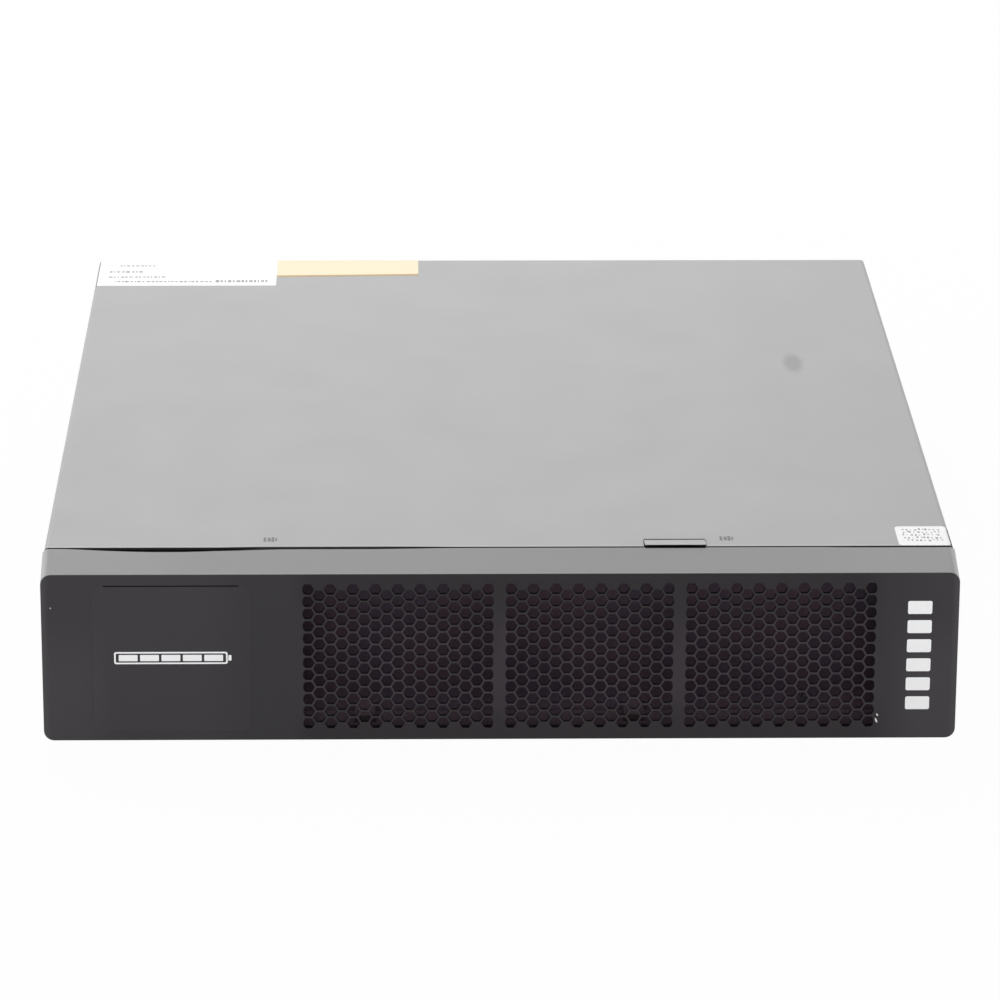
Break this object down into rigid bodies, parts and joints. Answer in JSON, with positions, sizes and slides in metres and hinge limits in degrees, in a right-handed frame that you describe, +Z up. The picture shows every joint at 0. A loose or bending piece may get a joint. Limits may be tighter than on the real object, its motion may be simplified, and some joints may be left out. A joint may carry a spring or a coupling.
{
  "type": "external ups battery pack",
  "caption": "Low wide rack or tower battery pack: grey folded steel case, black front plate with a honeycomb grille, DC sockets at the rear.",
  "frame": {"origin": "middle of the pack's box in plan, on the surface it stands on", "axes": "+X to the right seen from the front, +Y to the rear, +Z up"},
  "size_m": [0.4398, 0.53, 0.0882],
  "materials": {
    "cover_paint": "fine satin powder coat, mid grey",
    "case_paint": "fine satin powder coat, mid grey",
    "bulkhead_paint": "matt near-black",
    "frame_plastic": "moulded, fine matt grain",
    "bezel_plastic": "moulded, fine matt grain",
    "blank_plastic": "moulded, fine matt grain",
    "tray_steel": "galvanised",
    "block_plastic": "moulded",
    "tab_metal": "tinned",
    "sleeve_plastic": "moulded nylon",
    "lead_red": "insulated",
    "lead_black": "insulated",
    "foam": "closed-cell foam",
    "board": "solder mask",
    "terminal_metal": "plain",
    "fuse_body": "glazed body",
    "socket_plastic": "moulded",
    "contact_metal": "plain",
    "screw_steel": "zinc plated"
  },
  "bodies": {
    "root": {"base_pan": "case_paint", "battery_01": "block_plastic", "battery_02": "block_plastic", "battery_03": "block_plastic", "battery_04": "block_plastic", "battery_05": "block_plastic", "battery_06": "block_plastic", "battery_07": "block_plastic", "battery_08": "block_plastic", "battery_09": "block_plastic", "battery_10": "block_plastic", "battery_11": "block_plastic", "battery_12": "block_plastic", "battery_tabs": "tab_metal", "battery_tray_left": "tray_steel", "battery_tray_right": "tray_steel", "board_screws": "screw_steel", "board_spacers": "sleeve_plastic", "board_terminals": "terminal_metal", "centre_rail": "tray_steel", "connector_board": "board", "cover_screws": "cover_paint", "dc_socket_left": "socket_plastic", "dc_socket_right": "socket_plastic", "display_blank": "blank_plastic", "ear_nuts": "screw_steel", "earth_nut": "screw_steel", "earth_screw": "screw_steel", "earth_washer": "screw_steel", "foam_strip_inner_left": "foam", "foam_strip_inner_right": "foam", "foam_strip_outer_left": "foam", "foam_strip_outer_right": "foam", "front_bezel": "bezel_plastic", "front_bulkhead": "bulkhead_paint", "front_frame": "frame_plastic", "fuse_clips": "tab_metal", "negative_lead_left": "lead_black", "negative_lead_right": "lead_black", "panel_screws": "screw_steel", "positive_lead_left": "lead_red", "positive_lead_right": "lead_red", "rear_panel": "case_paint", "series_links_left": "lead_black", "series_links_right": "lead_black", "socket_contacts": "contact_metal", "socket_screws": "screw_steel", "string_fuses": "fuse_body", "tab_sleeves": "sleeve_plastic", "top_cover": "cover_paint", "tray_pad_left": "foam", "tray_pad_right": "foam", "tray_screws": "screw_steel"}
  },
  "joints": []
}
